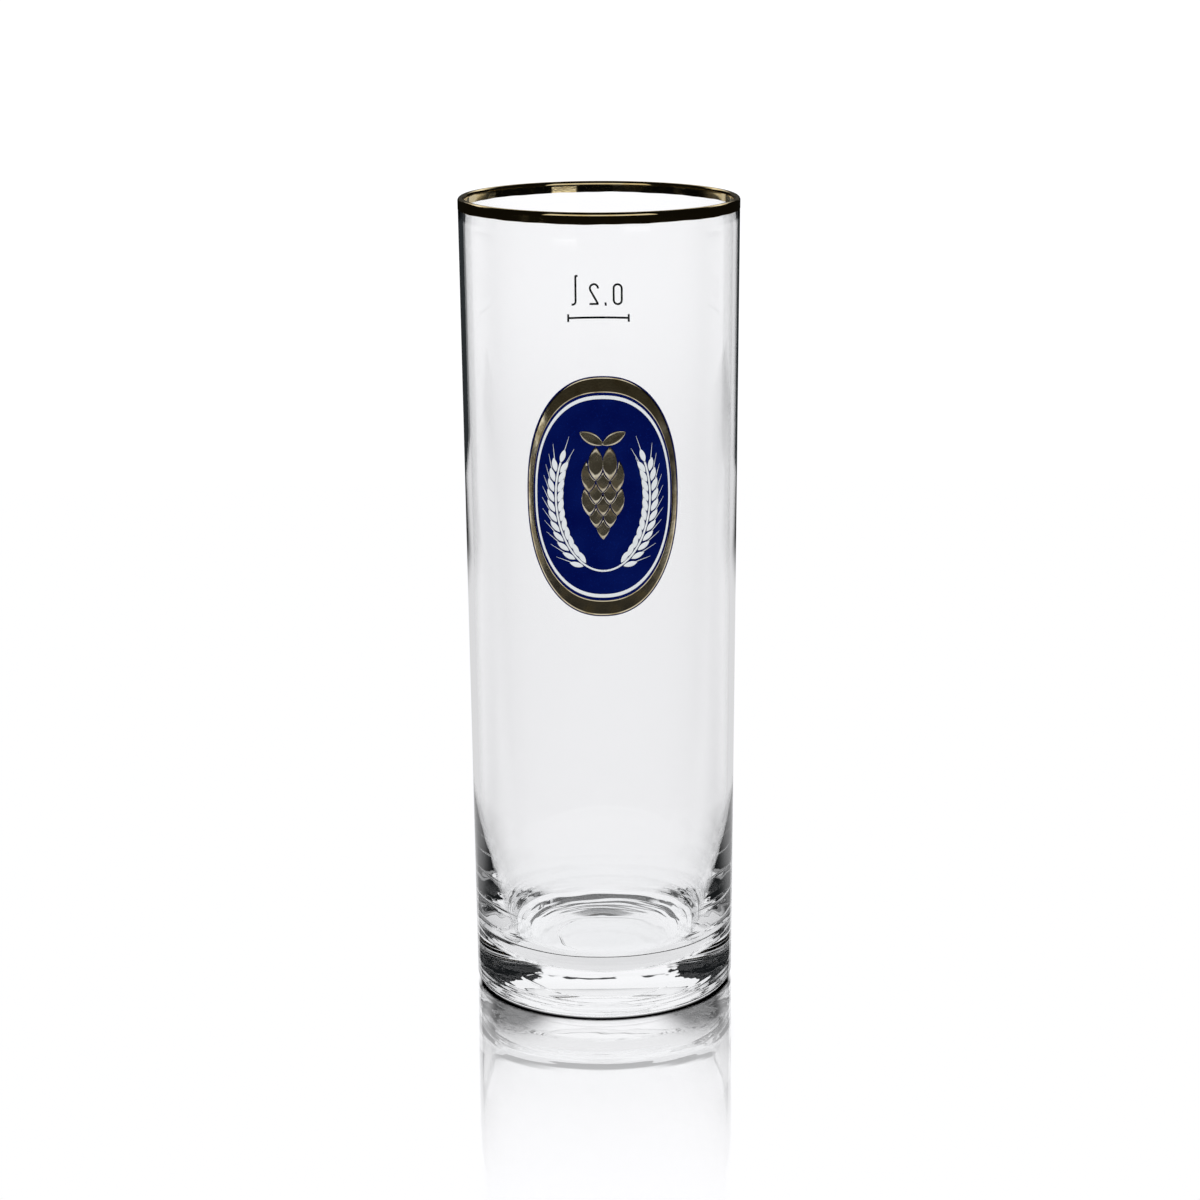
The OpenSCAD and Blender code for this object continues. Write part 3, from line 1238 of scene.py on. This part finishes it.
@dataclass
class FillMark:
    """The fill line on the far side, with the volume in plain numerals over it.

    The u of each numeral is its place to the right of the middle, and the two's bow is a pair of angles in
    degrees.
    """

    section: GlassSection
    line_z: float = 124.0
    line_w: float = 12.4
    stroke_w: float = 0.4
    tick_h: float = 1.5
    seat: float = 0.012
    thickness: float = 0.03
    baseline: float = 2.4
    numeral_h: float = 4.2
    numeral_w: float = 2.0
    nought_u: float = -3.85
    nought_points: int = 64
    comma_u: float = -1.45
    comma_lean: float = 0.06
    comma_v: tuple[float, float] = (0.5, -0.15)
    two_u: float = 0.85
    two_bow: tuple[float, float] = (183.6, -32.4)
    two_bow_steps: int = 21
    two_foot: float = 0.1
    two_steps: int = 40
    litre_u: float = 4.5
    litre_v: tuple[float, float] = (0.16, 5.65)
    litre_flag: float = 0.45
    litre_hook: float = 0.55
    litre_hook_steps: int = 7
    litre_tail: float = 0.25
    litre_steps: int = 44

    def __post_init__(self) -> None:
        """Set up the wall under the mark and the radius of the numerals' bows."""
        self.wall = WallPrint(self.section, WallSide.BACK, self.line_z)
        self.bow_r = (self.numeral_w - self.stroke_w) / 2.0

    def build(self, finishes: Finishes) -> None:
        """Make the line and the numerals; the numerals stand with the line.

        Args:
            finishes: The shared materials.
        """
        end, tick = self.line_w / 2.0, self.tick_h / 2.0
        bar = self.stroke([-end, end], [0.0, 0.0])
        tick_u = end - self.stroke_w / 2.0
        ticks = [self.stroke([u, u], [-tick, tick]) for u in (-tick_u, tick_u)]
        mark = Shell.joined([bar, *ticks]).to_object("fill_mark_line", finishes.dark)
        settle(mark, "dark_enamel", "fill_line")
        numerals = Shell.joined([self.nought(), self.comma(), *self.two(), self.litre()])
        settle(numerals.to_object("fill_mark_numerals", finishes.dark), "dark_enamel")

    def stroke(self, u: Sequence[float], v: Sequence[float], steps: int = 12) -> Shell:
        """Make a line of the mark along straight stretches between points.

        Args:
            u: Corner points to the right.
            v: Corner points upwards.
            steps: Steps in the whole line.

        Returns:
            The closed line.
        """
        reach = lengths(np.stack([u, v], -1))
        at = np.linspace(0.0, reach[-1], steps + 1)
        path = (np.interp(at, reach, u), np.interp(at, reach, v))
        return self.wall.stroke(*path, self.stroke_w, self.seat, self.seat + self.thickness)

    def nought(self) -> Shell:
        """Make a nought as a closed stadium line: half circles over and under straight sides.

        Returns:
            The closed line.
        """
        turn = around(self.nought_points)
        half = self.numeral_h / 2.0
        rise = half - self.stroke_w / 2.0 - self.bow_r
        across = np.array([0.5, 0.0, -0.5, -0.5, 0.0, 0.5])[:, None] * self.stroke_w
        lift = np.array([0.5, 1.0, 0.5, 0.0, 0.0, 0.0])[:, None] * self.thickness
        u = self.nought_u + (self.bow_r + across) * np.cos(turn)
        v = self.baseline + half + (self.bow_r + across) * np.sin(turn) + rise * np.sign(np.sin(turn))
        return self.wall.ring(u, v, self.seat + lift)

    def comma(self) -> Shell:
        """Make the decimal comma as a short slanting line."""
        u = [self.comma_u + self.comma_lean, self.comma_u - self.comma_lean]
        return self.stroke(u, [self.baseline + v for v in self.comma_v])

    def two(self) -> list[Shell]:
        """Make a two: an open bow, a slanting stem and a level foot.

        Returns:
            Its two closed lines.
        """
        top = self.baseline + self.numeral_h - self.stroke_w / 2.0 - self.bow_r
        foot = self.baseline + self.stroke_w / 2.0
        bow = arc((self.two_u, top), self.bow_r, *np.radians(self.two_bow), self.two_bow_steps)
        half = self.bow_r + self.two_foot
        stem = self.stroke([*bow[:, 0], self.two_u - self.bow_r], [*bow[:, 1], foot], self.two_steps)
        return [stem, self.stroke([self.two_u - half, self.two_u + half], [foot, foot])]

    def litre(self) -> Shell:
        """Make the letter for litre: a tall stem with a small flag at the top and a hook at the foot.

        Returns:
            The closed line.
        """
        low, high = (self.baseline + v for v in self.litre_v)
        turn = self.litre_u + self.litre_hook
        centre = (turn, low + self.litre_hook)
        hook = arc(centre, self.litre_hook, math.pi, 1.5 * math.pi, self.litre_hook_steps)
        u = [self.litre_u - self.litre_flag, self.litre_u, *hook[:, 0], turn + self.litre_tail]
        return self.stroke(u, [high, high, *hook[:, 1], low], self.litre_steps)


class LitSheet(NodeSheet):
    """A node sheet with the shaded place, or the direction in the world, and the ray that has reached it.

    Sharp rays come from clear glass or from the table's mirror, and the others from gold and enamel.
    Straight rays are the camera's own and those that glass has only bent.
    """

    def __init__(self, tree: bpy.types.NodeTree, kind: str) -> None:
        """Start from an empty tree and read the coordinates and the ray's path.

        Args:
            tree: The node tree to fill.
            kind: Object for a piece's places, Generated for the world's directions.
        """
        super().__init__(tree)
        self.spot = self.place(kind)
        self.x, self.y, self.z = self.axes(self.spot)
        path = self.add("ShaderNodeLightPath").outputs
        self.camera = path["Is Camera Ray"]
        self.diffuse = path["Is Diffuse Ray"]
        self.sharp = path["Is Singular Ray"]
        self.reflections = path["Glossy Depth"]
        self.passages = path["Transmission Depth"]
        unturned = self.math("LESS_THAN", self.reflections, 0.5)
        self.straight = self.largest(self.camera, self.product(path["Is Transmission Ray"], unturned))
        self.turn = self.math("ARCTAN2", self.x, self.y)


@dataclass(frozen=True)
class Card:
    """A white card in the room, as a patch of directions.

    Attributes:
        middle: Angle of its middle from -Y.
        half: Half of its width as an angle.
        low: Lowest rise.
        high: Highest rise.
        strength: Its brightness.
    """

    middle: float
    half: float
    low: float
    high: float
    strength: float


@dataclass
class Room:
    """The light from each direction: white behind the glass and at its sides, and dark round the camera.

    A direction has a rise, its z, and a turn from +Y. The bar, flag and notch are for what glass shows, and
    most of the cards for gold. A row of turned_light is a number of reflections, how far it may be off,
    and the light for it.
    """

    white: Colour = (1.0, 1.0, 1.015)
    ambient: float = 0.9

    wall_half: Ramp = Ramp(0.36, 0.5, 0.33, 0.62)
    wall_lumps: float = 14.0
    wall_wobble: Ramp = Ramp(0.25, 0.75, -0.03, 0.05)
    wall_edge: Ramp = Ramp(0.01, 0.025, 1.0, 0.0)
    wall_front: Ramp = Ramp(-0.3, -0.1)
    wall_top_for_gold: Ramp = Ramp(0.5, 0.65, 1.0, 0.0)
    wall_foot_for_gold: Ramp = Ramp(0.25, 0.5, 0.05, 1.0)

    bar_lumps: float = 9.0
    bar_rise: Ramp = Ramp(0.3, 0.7, 0.295, 0.325)
    bar_edge: Ramp = Ramp(0.009, 0.016, 1.0, 0.0)
    bar_breaks: Ramp = Ramp(0.44, 0.5, 0.0, 0.97)

    lower_top: Ramp = Ramp(0.02, 0.1)
    flag_middle: float = -0.08
    flag_edge: Ramp = Ramp(0.47, 0.52, 0.0, 0.72)
    side_end: Ramp = Ramp(0.95, 1.35, 1.0, 0.0)
    notch_rise: float = -0.0925
    notch_edge: Ramp = Ramp(0.025, 0.03, 0.08, 1.0)

    straight_light: Ramp = Ramp(-0.215, -0.14, 1.0, 1.09)
    mirrored_from: Ramp = Ramp(0.02, 0.06)
    turned_from: Ramp = Ramp(0.05, 0.15)
    turned_light: tuple[tuple[float, float, float], ...] = (
        (4.0, 1.2, 0.8),
        (7.0, 0.5, 0.3),
        (10.0, 0.5, 0.3),
    )

    gold_dim: Ramp = Ramp(-0.24, -0.13, 0.05, 0.005)
    gold_shade: Colour = (1.0, 0.92, 0.72)
    glass_dim: Ramp = Ramp(0.05, 0.12, 0.03, 0.01)
    glass_shade: Colour = (0.8, 0.92, 1.0)

    gold_cards: tuple[Card, ...] = (
        Card(0.0, 0.82, 0.1, 0.68, 0.75),
        Card(-1.07, 0.22, -0.36, -0.165, 1.4),
        Card(1.07, 0.22, -0.36, -0.165, 0.1),
    )
    glint_cards: tuple[Card, ...] = (Card(0.53, 0.19, -0.115, -0.096, 1.0),)
    card_side_edge: float = 0.02
    card_end_edge: float = 0.003

    def __post_init__(self) -> None:
        """Start the world's sheet and find the light that a dark strip low in the room leaves."""
        world = bpy.data.worlds.new("room")
        bpy.context.scene.world = world
        world.use_nodes = True
        self.sheet = LitSheet(world.node_tree, "Generated")
        self.notch = self.sheet.fit(self.sheet.away(self.sheet.z, self.notch_rise), self.notch_edge)

    def build(self) -> None:
        """Make the world's light."""
        sheet = self.sheet
        room = sheet.mix(sheet.fit(sheet.z, self.lower_top), self.side_walls(), self.wall_behind())
        strength = sheet.largest(room, self.gold_light(), self.plain_white())
        glass_dim = sheet.product(sheet.fit(sheet.z, self.glass_dim), self.notch)
        dim = sheet.mix(sheet.sharp, sheet.fit(sheet.z, self.gold_dim), glass_dim)
        tone = sheet.blend(sheet.sharp, self.gold_shade, self.glass_shade)
        colour = sheet.blend(strength, sheet.blend(1.0, tone, dim, "MULTIPLY"), self.white)
        light = sheet.add("ShaderNodeBackground", None, Color=colour, Strength=sheet.largest(strength, 1.0))
        sheet.add("ShaderNodeOutputWorld", None, Surface=light.outputs[0])

    def wall_behind(self) -> Socket:
        """Light the white wall behind the glass, with wavy side edges and a broken bar across it.

        Returns:
            The wall's light.
        """
        sheet = self.sheet
        wobble = sheet.fit(sheet.noise(sheet.spot, self.wall_lumps, 3.0), self.wall_wobble)
        limit = sheet.math("ADD", sheet.fit(sheet.z, self.wall_half), wobble)
        past = sheet.math("SUBTRACT", sheet.away(sheet.x), limit)
        return sheet.product(
            sheet.fit(past, self.wall_edge),
            sheet.fit(sheet.y, self.wall_front),
            sheet.largest(sheet.fit(sheet.z, self.wall_top_for_gold), sheet.sharp),
            sheet.largest(sheet.fit(sheet.z, self.wall_foot_for_gold), sheet.sharp),
            sheet.rest(self.broken_bar()),
        )

    def broken_bar(self) -> Socket:
        """Draw a dark bar for the rays that pass two surfaces of glass and are reflected once.

        Returns:
            The bar's darkness.
        """
        sheet = self.sheet
        lumps = sheet.noise(sheet.spot, self.bar_lumps, 1.0)
        off = sheet.away(sheet.z, sheet.fit(lumps, self.bar_rise))
        return sheet.product(
            sheet.fit(off, self.bar_edge),
            sheet.fit(lumps, self.bar_breaks),
            sheet.math("COMPARE", sheet.reflections, 1.0),
            sheet.math("COMPARE", sheet.passages, 2.0),
        )

    def side_walls(self) -> Socket:
        """Light the lower room at both sides of a dark flag that stands behind the glass.

        Returns:
            The walls' light.
        """
        sheet = self.sheet
        return sheet.product(
            sheet.fit(sheet.away(sheet.turn, self.flag_middle), self.flag_edge),
            sheet.fit(sheet.away(sheet.turn), self.side_end),
            sheet.sharp,
            self.notch,
        )

    def gold_light(self) -> Socket:
        """Light gold and enamel with cards and even soft light, and give reflected sharp rays a glint.

        Returns:
            The light.
        """
        sheet = self.sheet
        cards = sheet.product(self.cards(self.gold_cards), sheet.rest(sheet.sharp))
        glint = sheet.math("MINIMUM", self.cards(self.glint_cards), sheet.reflections)
        soft = sheet.product(sheet.diffuse, self.ambient)
        return sheet.largest(soft, cards, sheet.product(glint, sheet.sharp))

    def cards(self, cards: Sequence[Card]) -> Socket:
        """Hang white cards with soft edges.

        Args:
            cards: The cards.

        Returns:
            The brightest card's light in each direction.
        """
        sheet, side, end = self.sheet, self.card_side_edge, self.card_end_edge
        turn = sheet.math("ARCTAN2", sheet.x, sheet.product(sheet.y, -1.0))
        lit = []
        for card in cards:
            across = Ramp(card.half - side, card.half + side, card.strength, 0.0)
            foot = Ramp(card.low - end, card.low + end)
            top = Ramp(card.high - end, card.high + end, 1.0, 0.0)
            light = sheet.fit(sheet.away(turn, card.middle), across)
            lit.append(sheet.product(light, sheet.fit(sheet.z, foot), sheet.fit(sheet.z, top)))
        return sheet.largest(*lit)

    def plain_white(self) -> Socket:
        """Show white to straight rays, to sharp ones with one bounce and to some that turn often in glass.

        Returns:
            The light.
        """
        sheet = self.sheet
        straight = sheet.product(sheet.straight, sheet.fit(sheet.z, self.straight_light))
        once = sheet.math("LESS_THAN", sheet.math("ADD", sheet.reflections, sheet.passages), 1.5)
        mirrored = sheet.product(sheet.sharp, once, sheet.fit(sheet.z, self.mirrored_from))
        often = [
            sheet.product(sheet.math("COMPARE", sheet.reflections, number, margin), light)
            for number, margin, light in self.turned_light
        ]
        inner = sheet.product(sheet.largest(*often), sheet.sharp, sheet.fit(sheet.z, self.turned_from))
        return sheet.largest(straight, sheet.camera, mirrored, inner)


@dataclass
class Table:
    """A white table that glows and mirrors the glass round its foot, with a painted contact shadow and
    shadow.

    The sheet's own sizes are millimetres. Ramps are metres along an axis or from the middle of the foot,
    apart from glass_glow, an angle from +Y, and shadow_aside, the sine of an angle from Y.
    """

    white: Colour = (1.0, 1.0, 1.015)
    level: float = -0.06
    left_right: tuple[float, float, int] = (-600.0, 600.0, 25)
    front_back: tuple[float, float, int] = (-320.0, 440.0, 20)

    glass_glow: Ramp = Ramp(0.95, 1.35, 0.7, 0.02)
    under_glow: Ramp = Ramp(0.023, 0.0235, 0.85, 0.0)
    gold_glow: Ramp = Ramp(-0.24, -0.16, 0.02, 0.7)
    far_strip: Ramp = Ramp(0.28, 0.36, 1.0, 0.02)
    far_width: Ramp = Ramp(0.12, 0.2)
    right_end: Ramp = Ramp(0.34, 0.5, 1.0, 0.1)
    # Painted shade: the table's glow is a little darker under the glass.
    under_shade: Ramp = Ramp(0.0225, 0.0235, 0.94, 1.0)

    # Painted contact shadow: a dark ring on the glowing table round the glass's foot.
    contact_r: float = 0.0241
    contact: Ramp = Ramp(0.0004, 0.0014)
    contact_end: Ramp = Ramp(0.0235, 0.0244)

    shadow_in: Ramp = Ramp(0.0238, 0.0245)
    shadow_out: Ramp = Ramp(0.028, 0.046, 1.0, 0.0)
    shadow_aside: Ramp = Ramp(0.25, 0.55, 0.1, 0.9)
    shadow_end: Ramp = Ramp(0.0205, 0.0238, 1.0, 0.0)
    shadow_front: Ramp = Ramp(-0.012, -0.004, 1.0, 0.0)

    mirror_in: Ramp = Ramp(0.0243, 0.0254)
    mirror_out: Ramp = Ramp(0.0, 0.125, 1.0, 0.0)
    mirror_power: float = 1.6
    # Share by which the painted shadow also darkens the mirror's reflection, as painted shade.
    mirror_loss: float = 0.85

    def __post_init__(self) -> None:
        """Start the table's material and find the distances from the middle of the foot and from x = 0."""
        self.material = new_material("white_table")[0]
        self.sheet = LitSheet(self.material.node_tree, "Object")
        length = self.sheet.add("ShaderNodeVectorMath", {"operation": "LENGTH"}, Vector=self.sheet.spot)
        self.reach = length.outputs["Value"]
        self.aside = self.sheet.away(self.sheet.x)

    def build(self) -> None:
        """Lay the sheet."""
        sheet, reach = self.sheet, self.reach
        shadow = self.shadow()
        # Painted shade: the contact shadow, the soft shadow and the darker patch under the glass lower the
        # glow.
        strength = sheet.product(
            sheet.largest(self.glow(), sheet.straight),
            self.contact_shadow(),
            sheet.rest(shadow),
            sheet.fit(reach, self.under_shade),
        )
        # The painted shadow also darkens the mirror's reflection.
        mirror = sheet.product(
            sheet.math("POWER", sheet.fit(reach, self.mirror_out), self.mirror_power),
            sheet.fit(reach, self.mirror_in),
            sheet.rest(sheet.product(shadow, self.mirror_loss)),
        )
        glow = sheet.add("ShaderNodeEmission", None, Color=(*self.white, 1.0), Strength=strength)
        gloss = sheet.add("ShaderNodeBsdfGlossy", None, Color=(1.0, 1.0, 1.0, 1.0), Roughness=0.0)
        pair = {"i1": glow.outputs[0], "i2": gloss.outputs[0]}
        sheet.surface(sheet.add("ShaderNodeMixShader", None, Fac=mirror, **pair))
        x, y = np.meshgrid(np.linspace(*self.left_right), np.linspace(*self.front_back))
        points = np.stack([x, y, np.full_like(x, self.level)], -1).reshape(-1, 3)
        Shell(points, grid_faces(*x.shape)).to_object("table", self.material)

    def glow(self) -> Socket:
        """Light the table for glass and gold: dark near the camera, far behind and far to the right.

        Returns:
            The light.
        """
        sheet = self.sheet
        behind = sheet.fit(sheet.away(sheet.turn), self.glass_glow)
        for_glass = sheet.largest(behind, sheet.fit(self.reach, self.under_glow))
        far = sheet.largest(sheet.fit(sheet.y, self.far_strip), sheet.fit(self.aside, self.far_width))
        glow = sheet.mix(sheet.sharp, sheet.fit(sheet.y, self.gold_glow), for_glass)
        return sheet.product(glow, far, sheet.fit(sheet.x, self.right_end))

    def contact_shadow(self) -> Socket:
        """Paint the dark contact shadow where the glass stands, which ends at its sides and isn't seen
        through it.

        Returns:
            The light that the painted shadow leaves.
        """
        sheet = self.sheet
        return sheet.largest(
            sheet.fit(sheet.away(self.reach, self.contact_r), self.contact),
            sheet.fit(self.aside, self.contact_end),
            sheet.math("GREATER_THAN", sheet.passages, 0.5),
        )

    def shadow(self) -> Socket:
        """Draw the soft shadow in front of the foot.

        Returns:
            The shadow's darkness.
        """
        sheet = self.sheet
        return sheet.product(
            sheet.fit(self.reach, self.shadow_in),
            sheet.fit(self.reach, self.shadow_out),
            sheet.fit(sheet.math("DIVIDE", self.aside, self.reach), self.shadow_aside),
            sheet.fit(self.aside, self.shadow_end),
            sheet.fit(sheet.y, self.shadow_front),
        )


@dataclass(frozen=True)
class Softbox:
    """A rectangular lamp: its place and size in metres and its power in watts."""

    name: str
    place: tuple[float, float, float]
    size: tuple[float, float]
    power: float

    def hang(self, target: Sequence[float]) -> None:
        """Hang the lamp so that it faces a target, seen by neither the camera nor glass nor gold.

        Args:
            target: The point that it faces.
        """
        light = bpy.data.lights.new(self.name, "AREA")
        light.shape = "RECTANGLE"
        light.size, light.size_y = self.size
        light.energy = self.power
        lamp = bpy.data.objects.new(self.name, light)
        lamp.location = self.place
        aim = np.subtract(target, self.place)
        tilt = math.atan2(aim[2], math.hypot(aim[0], aim[1]))
        lamp.rotation_euler = (math.pi / 2 + tilt, 0.0, math.atan2(aim[1], aim[0]) - math.pi / 2)
        lamp.visible_camera = False
        lamp.visible_transmission = False
        lamp.visible_glossy = False
        bpy.context.scene.collection.objects.link(lamp)


@dataclass
class Studio:
    """The camera where the photograph was taken from, the room, the table and two lamps beside the camera.

    Lengths are metres and angles degrees, and the camera's place is given before it is turned by the yaw.
    """

    lens: float = 85.07
    sensor_w: float = 36.0
    shift: float = -0.07
    nearest: float = 0.01
    place: tuple[float, float, float] = (0.01539, -0.5156, 0.2087)
    pitch: float = 14.603
    yaw: float = -2.4
    target: tuple[float, float, float] = (0.0, 0.0, 0.09)
    lamps: tuple[Softbox, ...] = (
        Softbox("left_softbox", (-0.55, -0.35, 0.5), (0.12, 0.3), 1.0),
        Softbox("right_softbox", (0.42, -0.5, 0.35), (0.1, 0.1), 0.8),
    )
    bounces: int = 32
    glossy_bounces: int = 24

    def build(self) -> None:
        """Set up the stage."""
        self.camera()
        Room().build()
        Table().build()
        for lamp in self.lamps:
            lamp.hang(self.target)
        bpy.context.scene.view_settings.view_transform = "Standard"
        cycles = bpy.context.scene.cycles
        cycles.max_bounces = self.bounces
        cycles.glossy_bounces = self.glossy_bounces
        cycles.transmission_bounces = self.bounces

    def camera(self) -> None:
        """Put the camera where the photograph was taken from."""
        lens = bpy.data.cameras.new("camera")
        lens.lens = self.lens
        lens.sensor_width = self.sensor_w
        lens.shift_x = self.shift
        lens.clip_start = self.nearest
        turn = math.radians(self.yaw)
        x, y, z = self.place
        camera = bpy.data.objects.new("camera", lens)
        camera.location = (*turned(x, y, turn, (0.0, 0.0)), z)
        camera.rotation_euler = (math.radians(90.0 - self.pitch), 0.0, turn)
        bpy.context.scene.collection.objects.link(camera)
        bpy.context.scene.camera = camera


def main() -> None:
    """Build the pieces in order, then the stage."""
    logging.basicConfig(level=logging.INFO, format="%(name)s %(message)s")
    section = GlassSection()
    finishes = Finishes()
    for assembly in (GlassBody(section), GiltLip(section), Label(section), FillMark(section)):
        assembly.build(finishes)
    Studio().build()


if __name__ == "__main__":
    main()
